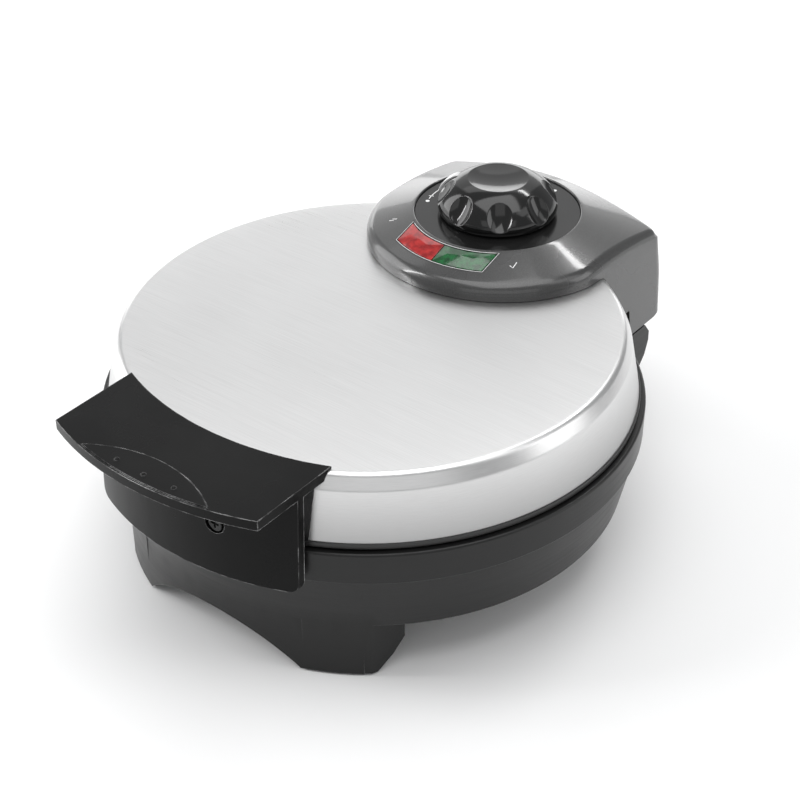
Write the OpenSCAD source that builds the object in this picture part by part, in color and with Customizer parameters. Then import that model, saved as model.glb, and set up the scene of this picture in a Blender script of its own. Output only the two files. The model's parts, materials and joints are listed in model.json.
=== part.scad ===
// Round clamshell waffle maker with a rear temperature dial.
// Millimetres. +Z is up, -Y is the front (handle side), and the origin is on the lid's axis, on the table.

/* [Lid] */
// Outer radius of the steel lid at its lower edge
lid_r = 118; // [114:0.1:150]
// Height of the steel lid's wall, up to the lower crease
lid_wall_h = 22.6; // [20:0.2:30]
// How far the wall leans in over that height
lid_wall_in = 4.1; // [2:0.1:8]
// Height of the shoulder between the two creases
shoulder_h = 6.4; // [3:0.2:10]
// How far the shoulder leans in
shoulder_in = 3.4; // [2:0.1:8]
// Rise of the lid's crown above the upper crease
dome_rise = 1.5; // [0.5:0.1:4]
// Thickness of the steel sheet
steel_t = 0.8; // [0.5:0.1:1.5]
// Height of the plastic bezel under the steel
bezel_h = 2.9; // [2:0.1:6]

/* [Base] */
// Height of the body's lower edge above the table, beside the feet
side_clear = 27.5; // [22:0.5:36]
// Height of the tapered body wall below the collar ring
body_h = 28.1; // [24:0.1:40]
// Height of the collar ring
ring_h = 15.3; // [13:0.1:22]
// How far the collar ring stands out past the steel lid
ring_out = 3.3; // [2:0.1:6]
// How far the body wall is set back under the ring
body_step = 1.6; // [1:0.1:3]
// How far the body wall leans in from the ring to the lower edge
body_in = 6; // [3:0.5:12]
// Thickness of the moulded plastic walls
wall = 3; // [2:0.1:4]
// Height of the arch between the front feet
arch_h = 19.5; // [10:0.5:24]
// Radius of that arch
arch_r = 60; // [52:1:70]
// Angle from the front to the inner edge of a foot
foot_a0 = 23; // [20:1:28]
// Angle from the front to the outer edge of a foot
foot_a1 = 36; // [33:1:44]

/* [Cooking plates] */
// Radius of a waffle plate, 203 mm across
plate_r = 101.5; // [84:0.1:104]
// Depth of the batter grid below a plate's rim
grid_depth = 10; // [8:0.5:12]
// Distance from a plate's rim plane to the tops of its pegs
peg_drop = 3; // [2.5:0.1:4]
// Side of a square peg
peg = 12.5; // [9:0.5:14]
// Distance between pegs, centre to centre
peg_pitch = 19; // [16:0.5:22]
// Thickness of the casting behind the grid
plate_t = 3.5; // [3:0.1:5]

/* [Handle] */
// How far the handle's front edge stands out past the collar ring
handle_reach = 26.2; // [20:0.1:34]
// Half the width of the handle
handle_half = 54.5; // [46:0.5:62]
// Thickness of the handle plate
handle_t = 4.6; // [4:0.1:7]
// Width of the gap between the collar ring and the skirt
skirt_gap = 4; // [2.5:0.1:6]
// How far the skirt hangs below the parting line
skirt_drop = 16; // [10:0.5:20]
// Half the width of the thumb pad
pad_half = 35.5; // [28:0.5:40]

/* [Controls] */
// Distance from the dial's axis to the lid's rear edge
dial_in = 24; // [20:0.5:32]
// Radius of the recessed dial plate
dial_r = 38.7; // [32:0.05:42]
// Height of the deck's round rim above the lid's upper crease
deck_rise = 15.1; // [13:0.1:20]
// Radius of the control housing's round front
housing_r = 61.6; // [58:0.1:66]
// Fall of the deck for each millimetre outward
deck_fall = 0.33; // [0.2:0.01:0.45]
// Largest radius of the knob
knob_r = 28; // [24:0.5:31]
// Height of the knob
knob_h = 16.6; // [14:0.1:22]
// Number of finger scoops round the knob, one place being the pointer's
scoops = 8; // [6:1:10]
// Half the width of the two-lens window
lens_half = 24; // [20:0.5:28]
// Radial length of the lens window
lens_len = 10.5; // [8:0.5:13]
// Direction of the scale's cool end, in degrees from the front
dial_start = -69; // [-120:1:-30]
// How far past the cool end the pointer stands at rest
knob_rest = 6; // [0:1:90]

/* [Hinge] */
// How far behind the collar ring the hinge pins stand
hinge_out = 13.7; // [12:0.1:18]
// Radius of the hinge pins
pin_r = 3; // [2:0.1:4]
// Outer radius of the knuckles round the pins
knuckle_r = 9.2; // [8:0.1:10]
// Half the width of the hinge bracket and of the housing behind the lid
hinge_half = 62.3; // [58:0.1:68]

/* [Fits] */
// Gap between the closed lid and the base
parting_gap = 0.4; // [0.3:0.1:1.5]
// Radial clearance of a shaft that turns in its bore
run_gap = 0.05; // [0.02:0.01:0.1]
// Clearance between pieces that fit inside each other
fit_gap = 0.2; // [0.1:0.05:0.4]
// Clearance round parts that swing past each other
swing_gap = 1.4; // [1:0.1:3]

/* [Hidden] */
$fn = 96;
eps = 0.01;
far = 400;

// Heights, from the table up
z_ring = side_clear + body_h;
z_part = z_ring + ring_h;
z_lid = z_part + parting_gap;
z_steel = z_lid + bezel_h;
z_crease = z_steel + lid_wall_h;
z_top = z_crease + shoulder_h;
z_deck = z_top + deck_rise;
z_dial = z_deck - 1;
z_knob = z_dial + 0.7;
z_knob_top = z_knob + knob_h;
hinge_z = z_part - 1.4;

// Radii about the lid's axis
crease_r = lid_r - lid_wall_in;
top_r = crease_r - shoulder_in;
ring_r = lid_r + ring_out;
body_r = ring_r - body_step;
foot_r = body_r - body_in;
bezel_r = lid_r + 0.7;
handle_r = ring_r + handle_reach;
dial_y = lid_r - dial_in;
hinge_y = ring_r + hinge_out;
back_y = hinge_y + 12.5;
rim_w = 3;
seat_r = plate_r + fit_gap;

// The collar ring's ledge carries the plate, and the plate's underside carries what is below it
ledge_h = 3;
plate_depth = grid_depth + plate_t;
tube_r = 3.3;
leg_r = tube_r + 0.6;
leg_turns = [105, 105 + 330];
element_r = plate_r - 27.5;
reflector_r = plate_r - 7.5;
reflector_h = 8;
reflector_bore = 8;
leg_down = 12;
boss_ring = plate_r - 15.5;
sheet_t = 0.6;
screw_r = 2;
head_r = 3.6;
head_h = 2.2;

function unit(v) = v / norm(v);
// Points of an arc of radius r that rounds the corner b between a and c
function corner(a, b, c, r, n = 6) =
    let (u = unit(a - b), v = unit(c - b), half = acos(u * v) / 2, o = b + unit(u + v) * r / sin(half),
         s = b + u * r / tan(half) - o, e = b + v * r / tan(half) - o, a0 = atan2(s[1], s[0]),
         sweep = ((atan2(e[1], e[0]) - a0 + 540) % 360) - 180)
    [for (i = [0:n]) o + r * [cos(a0 + sweep * i / n), sin(a0 + sweep * i / n)]];
// Points of an arc about the origin, with angles in degrees from the front towards +X
function front_arc(r, a0, a1, n = 12) = [for (i = [0:n]) let (a = a0 + (a1 - a0) * i / n) [r * sin(a), -r * cos(a)]];
// Where a circle of radius r about the lid's axis meets the line x = half
function at_x(r, half) = sqrt(r * r - half * half);
function deck_z(r) = z_deck - deck_fall * max(0, r - dial_r - 0.8);

// The lid's outside from its lower edge to the crown, moved in by t
function lid_line(t) =
    let (p0 = [lid_r - t, z_steel], p1 = [crease_r - t, z_crease - t / 2], p2 = [top_r - t, z_top - t], p3 = [0, z_top - t])
    concat([p0], corner(p0, p1, p2, 5 - t), corner(p1, p2, p3, 3.5 - t),
           [for (i = [1:6]) let (r = (top_r - 4) * (1 - i / 6)) [r, z_top - t + dome_rise * (1 - pow(r / top_r, 2))]]);

module sector(r, a0, a1, z0, z1) {
    translate([0, 0, z0])
        linear_extrude(z1 - z0)
            polygon(concat([[0, 0]], [for (a = [a0, (a0 + a1) / 2, a1]) 2 * r * [sin(a), -cos(a)]]));
}
module tube(r_out, r_in, z0, z1) {
    rotate_extrude()
        translate([r_in, z0])
            square([r_out - r_in, z1 - z0]);
}
// A shape drawn in the Y-Z plane and extruded across X
module across(x0, x1) {
    translate([x0, 0, 0])
        rotate([90, 0, 90])
            linear_extrude(x1 - x0)
                children();
}
module screw(length) {
    cylinder(r = screw_r, h = length);
    translate([0, 0, -head_h])
        difference() {
            cylinder(r = head_r, h = head_h);
            for (a = [0, 90])
                rotate([0, 0, a])
                    translate([-head_r * 0.6, -0.5, -eps])
                        cube([head_r * 1.2, 1, 1]);
        }
}
module lid_solid(t) {
    rotate_extrude()
        polygon(concat([[0, z_lid - 1], [lid_r - t, z_lid - 1]], lid_line(t)));
}

// ---- Base ----
bracket_y = hinge_y + 0.2;
swing_r = knuckle_r + swing_gap;
ear_x1 = hinge_half - 6.8;
ear_x0 = ear_x1 - 9;
lid_ear_x = ear_x1 + 1.2;
pin_tip = 5;
guard_wall = 2.2;
guard_slot = 6;
guard_foot = 6;
cover_z = side_clear + 4;
cover_r = foot_r - wall;
cover_t = 2.5;
foot_in = 12;
inlet_z = side_clear + 14.5;
inlet_r = 4;
inlet_wall = 2;
inlet_y = body_r - 9.8;
inlet_len = bracket_y + 2 - inlet_y;
cover_screw_r = cover_r - 18.7;
cover_screw_a = [45, 135, 225, 315];
cover_screw_len = 9;
cover_boss_r = 5;
cover_boss_h = 10;
rib_t = 3;
foot_a = [for (s = [0, 180], d = [-1, 1]) s + d * (foot_a0 + foot_a1) / 2];
pad_r = 3.4;
pad_h = 2.2;
pad_out = 0.9;
pad_in = 6;
block = [28, 12, 11];
block_y = 62;
block_pitch = 9;

module body_wall() {
    rotate_extrude()
        polygon([[foot_r + 0.6, pad_out], [foot_r, side_clear], [body_r, z_ring], [body_r - wall, z_ring],
                 [foot_r - wall, side_clear], [foot_r + 0.6 - wall, pad_out]]);
}
// One foot: a block behind the wall, tapering to the table, whose flank turns in past the wall's edge
module foot(side) {
    mirror([side < 0 ? 1 : 0, 0, 0])
        difference() {
            intersection() {
                cylinder(r = foot_r + 0.3, h = side_clear + 6);
                translate([0, 0, pad_out])
                    linear_extrude(side_clear + 4)
                        polygon(concat(front_arc(foot_r + 2, foot_a0, foot_a1),
                                       [[foot_r * sin(foot_a1 + 9) - 4.5, -foot_r * cos(foot_a1 + 9) + 4.5]],
                                       front_arc(foot_r - foot_in, foot_a1 + 3, foot_a0)));
            }
            rotate([0, 0, foot_a1 + 10])
                translate([0, -foot_r, 0])
                    rotate([90, 0, 0])
                        linear_extrude(80, center = true)
                            polygon([[-14, -1], [-14, pad_out], [-7, 8], [-1, 17], [1, side_clear], [40, side_clear], [40, -1]]);
        }
}
module arch_cut(y0, y1) {
    translate([0, y0, arch_h - arch_r])
        rotate([-90, 0, 0])
            cylinder(r = arch_r, h = y1 - y0);
}
module hinge_bracket() {
    difference() {
        across(-hinge_half, hinge_half)
            polygon([[body_r - 28, z_ring - 1], [body_r - 28, side_clear + 4], [body_r - 2, side_clear + 4],
                     [bracket_y - 8, side_clear + 8],
                     [bracket_y - 2.7, side_clear + 14], [bracket_y, side_clear + 21], [bracket_y, z_ring - 2],
                     [bracket_y - 4, z_ring + 3.2], [hinge_y - 14, z_ring + 3.2], [at_x(ring_r, 0) - 10, z_ring - 1]]);
        across(-far, far)
            translate([hinge_y, hinge_z])
                circle(r = swing_r);
        cylinder(r = body_r - eps, h = far);
        translate([0, 0, z_ring - eps])
            cylinder(r = ring_r + fit_gap, h = far);
    }
    for (s = [-1, 1])
        difference() {
            union() {
                across(s > 0 ? ear_x0 : -ear_x1, s > 0 ? ear_x1 : -ear_x0)
                    translate([hinge_y, hinge_z])
                        circle(r = knuckle_r);
                across(s > 0 ? ear_x0 : -ear_x1, s > 0 ? ear_x1 : -ear_x0)
                    polygon([[hinge_y - 6, hinge_z], [hinge_y - 8, z_ring - 5], [bracket_y - 1, z_ring - 5],
                             [hinge_y + 5, hinge_z]]);
            }
            across(-far, far)
                translate([hinge_y, hinge_z])
                    circle(r = pin_r);
        }
}
module base_body() {
    color([0.2, 0.2, 0.21]) {
        difference() {
            union() {
                difference() {
                    body_wall();
                    for (s = [0, 180])
                        rotate([0, 0, s])
                            sector(far, foot_a1, 180 - foot_a1, -1, side_clear);
                }
                for (s = [-1, 1]) {
                    foot(s);
                    rotate([0, 0, 180])
                        foot(s);
                }
                for (a = cover_screw_a)
                    rotate([0, 0, a])
                        translate([cover_screw_r, 0, cover_z + cover_t])
                            cylinder(r = cover_boss_r, h = cover_boss_h);
                for (a = cover_screw_a)
                    rotate([0, 0, a])
                        translate([cover_screw_r, -rib_t / 2, cover_z + cover_t])
                            cube([foot_r - wall / 2 - cover_screw_r, rib_t, cover_boss_h]);
                hinge_bracket();
            }
            arch_cut(-far, far);
            for (a = cover_screw_a)
                rotate([0, 0, a])
                    translate([cover_screw_r, 0, 0])
                        cylinder(r = screw_r, h = cover_z + cover_t + cover_boss_h - 1.5);
            for (a = foot_a)
                rotate([0, 0, a])
                    translate([0, -foot_r + pad_in, pad_out - eps])
                        cylinder(r = pad_r, h = pad_h - pad_out + eps);
            translate([0, 0, cover_z])
                cylinder(r = cover_r - 2, h = cover_t);
            translate([0, inlet_y - 20, inlet_z])
                rotate([-90, 0, 0])
                    cylinder(r = inlet_r + inlet_wall + fit_gap, h = inlet_len + 40);
        }
    }
}
module base_ring() {
    color([0.17, 0.17, 0.18])
        difference() {
            rotate_extrude()
                polygon(concat(corner([ring_r - 20, z_part], [ring_r, z_part], [ring_r - 0.3, z_ring], 1.2),
                               corner([ring_r, z_part], [ring_r - 0.3, z_ring], [ring_r - 20, z_ring], 0.8),
                               [[seat_r - ledge_h, z_ring], [seat_r - ledge_h, z_part - plate_depth],
                                [seat_r, z_part - plate_depth], [seat_r, z_part]]));
            tube(ring_r - wall - 1, seat_r + wall, z_ring - 1, z_part - wall);
        }
}
module bottom_cover() {
    color([0.16, 0.16, 0.17])
        difference() {
            translate([0, 0, cover_z])
                cylinder(r = cover_r - 2 - fit_gap, h = cover_t);
            for (a = cover_screw_a)
                rotate([0, 0, a])
                    translate([cover_screw_r, 0, 0])
                        cylinder(r = screw_r + fit_gap, h = far);
            for (i = [-3:3])
                translate([-25, i * 9 - 2, 0])
                    cube([50, 4, far]);
        }
}
module bottom_screws() {
    color([0.55, 0.55, 0.57])
        for (a = cover_screw_a)
            rotate([0, 0, a])
                translate([cover_screw_r, 0, cover_z])
                    screw(cover_screw_len);
}
module foot_pads() {
    color([0.1, 0.1, 0.1])
        for (a = foot_a)
            rotate([0, 0, a])
                translate([0, -foot_r + pad_in, 0])
                    cylinder(r = pad_r - 0.1, h = pad_h);
}
module hinge_pins() {
    color([0.7, 0.7, 0.72])
        for (s = [-1, 1])
            across(s > 0 ? ear_x0 : -ear_x1 - pin_tip, s > 0 ? ear_x1 + pin_tip : -ear_x0)
                translate([hinge_y, hinge_z])
                    circle(r = pin_r);
}
module wire_guard() {
    color([0.2, 0.2, 0.21])
        across(fit_gap - ear_x0, ear_x0 - fit_gap)
            translate([hinge_y, hinge_z])
                difference() {
                    union() {
                        circle(r = knuckle_r);
                        intersection() {
                            circle(r = swing_r);
                            translate([-guard_foot / 2, -swing_r])
                                square([guard_foot, swing_r]);
                        }
                    }
                    circle(r = knuckle_r - guard_wall);
                    translate([-20, -guard_slot / 2])
                        square([20, guard_slot]);
                }
}
module cord_inlet() {
    color([0.12, 0.12, 0.13])
        translate([0, inlet_y, inlet_z])
            rotate([-90, 0, 0])
                difference() {
                    union() {
                        cylinder(r = inlet_r + inlet_wall, h = inlet_len);
                        cylinder(r = inlet_r + inlet_wall + 1.5, h = 2);
                    }
                    translate([0, 0, -eps])
                        cylinder(r = inlet_r, h = far);
                }
}
module terminal_block() {
    color([0.85, 0.83, 0.76])
        translate([-block[0] / 2, block_y, cover_z + cover_t])
            difference() {
                cube(block);
                for (i = [0:2])
                    translate([block[0] / 2 + (i - 1) * block_pitch, block[1] / 2, 4])
                        cylinder(r = 2, h = 10);
            }
}

// ---- Cooking plates: drawn for the lower one, with the rim plane at z = 0 and the pegs pointing up ----
peg_n = floor((plate_r - rim_w - peg / 2) / peg_pitch);
module waffle_plate() {
    channel = peg_pitch - peg;
    lines = [for (i = [-peg_n:peg_n + 1]) (i - 0.5) * peg_pitch];
    bowl_r = plate_r - rim_w;
    difference() {
        translate([0, 0, -plate_depth])
            cylinder(r = plate_r, h = plate_depth);
        translate([0, 0, -peg_drop])
            cylinder(r = bowl_r, h = peg_drop + 1);
        intersection() {
            translate([0, 0, -grid_depth])
                cylinder(r = bowl_r, h = grid_depth + 1);
            for (v = lines, a = [0, 90])
                rotate([0, 0, a])
                    translate([v - channel / 2, -far / 2, -grid_depth])
                        cube([channel, far, grid_depth + 1]);
        }
        for (i = [0:3])
            rotate([0, 0, 45 + i * 90])
                translate([boss_ring, 0, -plate_depth - eps])
                    cylinder(r = screw_r, h = plate_t - 1);
    }
}
module element() {
    rotate([0, 0, leg_turns[0]])
        rotate_extrude(angle = leg_turns[1] - leg_turns[0])
            translate([element_r, 0])
                circle(r = tube_r);
    for (a = leg_turns)
        rotate([0, 0, a])
            translate([element_r, 0, -leg_down])
                cylinder(r = leg_r, h = leg_down + 1);
}
module reflector() {
    difference() {
        rotate_extrude()
            polygon([[reflector_bore, -reflector_h - sheet_t], [reflector_r, -reflector_h - sheet_t],
                     [reflector_r + sheet_t, 0], [reflector_r, 0], [reflector_r - sheet_t, -reflector_h],
                     [reflector_bore, -reflector_h]]);
        for (a = leg_turns)
            rotate([0, 0, a])
                translate([element_r, 0, -20])
                    cylinder(r = leg_r + 0.4, h = 20);
        for (i = [0:3])
            rotate([0, 0, 45 + i * 90])
                translate([boss_ring, 0, -20])
                    cylinder(r = screw_r + fit_gap, h = 20);
    }
}
module plate_screws() {
    for (i = [0:3])
        rotate([0, 0, 45 + i * 90])
            translate([boss_ring, 0, -reflector_h - sheet_t])
                screw(reflector_h + sheet_t + plate_t - 1.2);
}
module lower() {
    translate([0, 0, z_part - plate_depth])
        children();
}
module upper() {
    translate([0, 0, z_lid + plate_depth])
        mirror([0, 0, 1])
            children();
}
module lower_plate() {
    color([0.12, 0.12, 0.12])
        translate([0, 0, z_part])
            waffle_plate();
}
module lower_element() {
    color([0.35, 0.33, 0.32])
        lower()
            translate([0, 0, -tube_r])
                element();
}
module lower_reflector() {
    color([0.75, 0.75, 0.77])
        lower()
            reflector();
}
module lower_plate_screws() {
    color([0.6, 0.6, 0.62])
        lower()
            plate_screws();
}
module upper_plate() {
    color([0.12, 0.12, 0.12])
        translate([0, 0, z_lid])
            mirror([0, 0, 1])
                waffle_plate();
}
module upper_element() {
    color([0.35, 0.33, 0.32])
        upper()
            translate([0, 0, -tube_r])
                element();
}
module upper_reflector() {
    color([0.75, 0.75, 0.77])
        upper()
            reflector();
}
module upper_plate_screws() {
    color([0.6, 0.6, 0.62])
        upper()
            plate_screws();
}

// ---- Lid ----
wire_hole_r = 24;
wire_hole_y = dial_y - 10;
handle_screw_x = 20;
handle_screw_z = z_part + 9;
house_screws = [for (s = [-1, 1], p = [[housing_r - 11.6, dial_y - 24], [dial_r + 5.3, dial_y - 2]]) [s * p[0], p[1]]];

module lid_shell() {
    color([0.8, 0.8, 0.81])
        difference() {
            rotate_extrude()
                polygon(concat(lid_line(0), [for (i = [len(lid_line(0)) - 1:-1:0]) lid_line(steel_t)[i]]));
            translate([0, wire_hole_y, z_crease])
                cylinder(r = wire_hole_r, h = 30);
            for (p = house_screws)
                translate([p[0], p[1], z_crease])
                    cylinder(r = screw_r + fit_gap, h = 30);
            for (s = [-1, 1])
                translate([s * handle_screw_x, -lid_r - 5, handle_screw_z])
                    rotate([-90, 0, 0])
                        cylinder(r = screw_r + fit_gap, h = 30);
        }
}
module lid_bezel() {
    back = z_lid + plate_depth;
    inner = lid_r - steel_t - fit_gap;
    color([0.1, 0.1, 0.11])
        rotate_extrude()
            polygon([[seat_r, z_lid], [bezel_r - 0.6, z_lid], [bezel_r, z_lid + 0.6], [bezel_r, z_steel], [inner, z_steel],
                     [inner - 0.9, z_steel + 3], [seat_r + wall, z_steel + 3], [seat_r + wall, back + 2],
                     [seat_r - ledge_h, back + 2], [seat_r - ledge_h, back], [seat_r, back]]);
}

// ---- Handle ----
handle_z = z_top + 1.4;
handle_under = handle_z - handle_t;
skirt_t = 3.2;
skirt_low_r = ring_r + skirt_gap + skirt_t;
skirt_top_r = skirt_low_r - 2;
skirt_z = z_part - skirt_drop;
lip_in = top_r - 5.5;
lip_arc = 137;
pad_len = 16;
pad_y = handle_r - pad_len;
bump_r = 1.1;
bump_in = 5.5;
bump_turn = 6.2;
head_seat = 3.4;
recess_r = 4.5;
handle_screw_len = 13;
pad_chord = at_x(handle_r, pad_half);
pad_arc = (pad_half * pad_half + pow(pad_chord - pad_y, 2)) / (2 * (pad_chord - pad_y));

module skirt_wall() {
    rotate_extrude()
        polygon([[skirt_low_r - skirt_t, skirt_z - 1], [skirt_low_r, skirt_z - 1], [skirt_top_r, handle_under + 1],
                 [skirt_top_r - skirt_t, handle_under + 1]]);
}
// The skirt's outline seen from the front, with round lower corners
module skirt_front() {
    top = handle_under + 0.5;
    translate([0, -50, 0])
        rotate([90, 0, 0])
            linear_extrude(far)
                polygon(concat(corner([-handle_half, top], [-handle_half, skirt_z], [handle_half, skirt_z], 4),
                               corner([-handle_half, skirt_z], [handle_half, skirt_z], [handle_half, top], 4),
                               [[handle_half, top], [-handle_half, top]]));
}
module handle_plate() {
    difference() {
        translate([0, 0, handle_under])
            linear_extrude(handle_t)
                difference() {
                    intersection() {
                        circle(r = handle_r);
                        translate([-handle_half, -handle_r - 1])
                            square([2 * handle_half, handle_r - 80]);
                    }
                    translate([0, lip_arc - lip_in])
                        circle(r = lip_arc);
                }
        lid_solid(-fit_gap);
        translate([0, 0, handle_z - 1.2])
            linear_extrude(5)
                intersection() {
                    translate([0, -pad_y - pad_arc])
                        circle(r = pad_arc);
                    circle(r = handle_r - 1);
                }
    }
}
// Webs and screw bosses between the skirt and the lid's wall
module handle_webs() {
    web_x = handle_half - 2.5;
    difference() {
        intersection() {
            rotate_extrude()
                polygon([[100, z_steel + 0.5], [skirt_low_r - 2, z_steel + 0.5], [skirt_top_r - 1, handle_under + 0.5],
                         [100, handle_under + 0.5]]);
            union() {
                for (s = [-1, 1])
                    translate([s > 0 ? web_x - wall : -web_x, -far, 0])
                        cube([wall, far - at_x(lid_r - 12, web_x), far]);
                for (s = [-1, 1])
                    translate([s * handle_screw_x - 5, -far, 0])
                        cube([10, far - lid_r + 8, handle_screw_z + 6]);
            }
        }
        lid_solid(-fit_gap);
    }
}
module handle() {
    seat_y = at_x(skirt_low_r, handle_screw_x) - head_seat;
    color([0.14, 0.14, 0.15])
        difference() {
            union() {
                handle_plate();
                intersection() {
                    skirt_wall();
                    skirt_front();
                }
                handle_webs();
            }
            for (s = [-1, 1])
                translate([s * handle_screw_x, 0, handle_screw_z])
                    rotate([90, 0, 0]) {
                        cylinder(r = screw_r + fit_gap, h = seat_y + eps);
                        translate([0, 0, seat_y])
                            cylinder(r = recess_r, h = 40);
                    }
        }
}
module thumb_pad() {
    color([0.12, 0.12, 0.13])
        intersection() {
            union() {
                translate([0, -pad_y - pad_arc, handle_z - 1.2])
                    cylinder(r = pad_arc - 0.15, h = 1.5);
                for (a = [-bump_turn, 0, bump_turn])
                    rotate([0, 0, a])
                        translate([0, -handle_r + bump_in, handle_z - 0.05])
                            sphere(r = bump_r, $fn = 32);
            }
            cylinder(r = handle_r - 1.15, h = far);
        }
}
module handle_screws() {
    color([0.5, 0.5, 0.52])
        for (s = [-1, 1])
            translate([s * handle_screw_x, -at_x(skirt_low_r, handle_screw_x) + head_seat, handle_screw_z])
                rotate([-90, 0, 0])
                    screw(handle_screw_len);
}

// ---- Control housing ----
front_y = dial_y + 0.5;
deck_t = 2.5;
seat_w = 3;
lip_z = hinge_z + 14.5;
back_arc = 450;
back_lean = 4.5;
side_draft = 0.05;
window_r = dial_r + 2.4;
house_boss_r = 4.2;
house_screw_len = 5.6;

module dial_axis() {
    translate([0, dial_y, 0])
        children();
}
// The housing's outside without its underside, drawn inside by t
module housing_block(t, top) {
    intersection() {
        translate([0, 0, z_part - 20])
            linear_extrude(far) {
                translate([0, front_y])
                    circle(r = housing_r - t);
                translate([-hinge_half - 1, front_y])
                    square([2 * hinge_half + 2, 70]);
            }
        translate([0, far, hinge_z])
            rotate([90, 0, 0])
                linear_extrude(2 * far)
                    polygon([[-hinge_half - side_draft * 20 + t, -20], [hinge_half + side_draft * 20 - t, -20],
                             [hinge_half - side_draft * 60 - t, 60], [-hinge_half + side_draft * 60 + t, 60]]);
        translate([0, back_y - back_arc, 0])
            rotate_extrude($fn = 360)
                polygon([[0, 0], [back_arc - t, 0], [back_arc - t, lip_z], [back_arc - back_lean - t, z_deck], [0, z_deck]]);
        dial_axis()
            rotate_extrude()
                polygon([[0, 0], [120, 0], [120, deck_z(120) - top], [dial_r + 8, deck_z(dial_r + 8) - top],
                         [dial_r + (top > 0 ? 7 : 0.8), z_deck - (top > 0 ? 5.2 : 0)],
                         [0, z_deck - (top > 0 ? 5.2 : 0)]]);
    }
}
// The side walls' outline: a knuckle round the pin, the wall in front of it and the wall above
module ear_outline() {
    translate([hinge_y, hinge_z])
        circle(r = knuckle_r);
    translate([hinge_y - 20, hinge_z - knuckle_r])
        square([20, knuckle_r + eps]);
    translate([hinge_y - 20, hinge_z])
        square([60, 60]);
    translate([0, z_steel + 0.5])
        square([hinge_y, 60]);
}
module housing_shell() {
    difference() {
        housing_block(0, 0);
        difference() {
            housing_block(deck_t, deck_t);
            for (s = [-1, 1])
                across(s > 0 ? lid_ear_x : -far, s > 0 ? far : -lid_ear_x)
                    translate([hinge_y - 20, 0])
                        square([60, lip_z]);
        }
        across(-lid_ear_x, lid_ear_x)
            square([far, lip_z]);
        for (s = [-1, 1])
            across(s > 0 ? lid_ear_x - 1 : -far, s > 0 ? far : 1 - lid_ear_x)
                difference() {
                    square([far, lip_z - eps]);
                    ear_outline();
                }
    }
}
module control_housing() {
    color([0.27, 0.27, 0.28])
        difference() {
            union() {
                housing_shell();
                for (p = house_screws)
                    translate([p[0], p[1], z_top])
                        cylinder(r = house_boss_r, h = deck_z(norm([p[0], p[1] - dial_y])) - z_top - 1.2);
            }
            lid_solid(-fit_gap);
            dial_axis() {
                translate([0, 0, z_dial - 2])
                    cylinder(r = dial_r + fit_gap, h = 20);
                translate([0, 0, z_top])
                    cylinder(r = dial_r - seat_w, h = 40);
            }
            lens_window(0, far);
            for (p = house_screws)
                translate([p[0], p[1], z_top - 5])
                    cylinder(r = screw_r, h = 11.5);
            across(-ear_x1 - pin_tip - fit_gap, ear_x1 + pin_tip + fit_gap)
                translate([hinge_y, hinge_z])
                    circle(r = pin_r + run_gap);
        }
}
// A slot of the lens window's outline
module lens_window(gap, h) {
    difference() {
        intersection() {
            dial_axis()
                translate([0, 0, z_top + 2])
                    cylinder(r = window_r + lens_len - gap, h = h);
            translate([-lens_half + gap, 0, 0])
                cube([2 * (lens_half - gap), dial_y, far]);
        }
        dial_axis()
            cylinder(r = window_r + gap, h = far);
    }
}
module lens(side) {
    intersection() {
        lens_window(fit_gap, far);
        dial_axis()
            rotate_extrude()
                polygon([[window_r - 2, deck_z(window_r - 2) - 3], [window_r + 16, deck_z(window_r + 16) - 3],
                         [window_r + 16, deck_z(window_r + 16) + 0.5], [window_r - 2, deck_z(window_r - 2) + 0.5]]);
        translate([side > 0 ? fit_gap / 2 : -far, 0, 0])
            cube([far - fit_gap / 2, far, far]);
    }
}
module red_lens() {
    color([0.75, 0.1, 0.08, 0.8])
        lens(-1);
}
module green_lens() {
    color([0.05, 0.4, 0.16, 0.8])
        lens(1);
}
lamp_y = dial_y - window_r - lens_len / 2;
lamp_z = z_top + 6.4;
// Two neon lamps, lying across under the lenses
module lamp_tubes() {
    for (s = [-1, 1])
        translate([s * lens_half / 2 - 6, lamp_y, lamp_z])
            rotate([0, 90, 0])
                cylinder(r = 2, h = 12);
}
module indicator_lamps() {
    color([0.95, 0.9, 0.85])
        lamp_tubes();
}
module lamp_holder() {
    foot_z = z_top + dome_rise * (1 - pow((lamp_y - 4) / top_r, 2)) + 0.03;
    color([0.85, 0.84, 0.8])
        difference() {
            translate([-lens_half + 2, lamp_y - 4, foot_z])
                cube([2 * lens_half - 4, 8, lamp_z - foot_z]);
            lamp_tubes();
        }
}
shaft_r = 3;
bush_r = 4.6;
thermo_r = 12.5;
thermo_h = 17;
shaft_up = 11;
shaft_down = 11.5;
module dial_plate() {
    color([0.12, 0.12, 0.13])
        dial_axis()
            tube(dial_r, bush_r + fit_gap, z_dial - 2, z_dial);
}
module thermostat() {
    color([0.78, 0.76, 0.7])
        dial_axis()
            difference() {
                union() {
                    translate([0, 0, z_dial - 2 - thermo_h])
                        cylinder(r = thermo_r, h = thermo_h);
                    translate([0, 0, z_dial - 3])
                        cylinder(r = bush_r, h = 6);
                    for (a = [35, 145])
                        rotate([0, 0, a])
                            translate([thermo_r - 2, -3, z_dial - 14])
                                cube([9, 6, 0.8]);
                }
                translate([0, 0, z_dial - shaft_down - 0.5])
                    cylinder(r = shaft_r + run_gap, h = 30);
            }
}
module thermostat_nut() {
    color([0.7, 0.7, 0.72])
        dial_axis()
            translate([0, 0, z_dial])
                difference() {
                    cylinder(r = 8, h = 2, $fn = 6);
                    translate([0, 0, -1])
                        cylinder(r = bush_r, h = 4, $fn = 96);
                }
}
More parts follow.
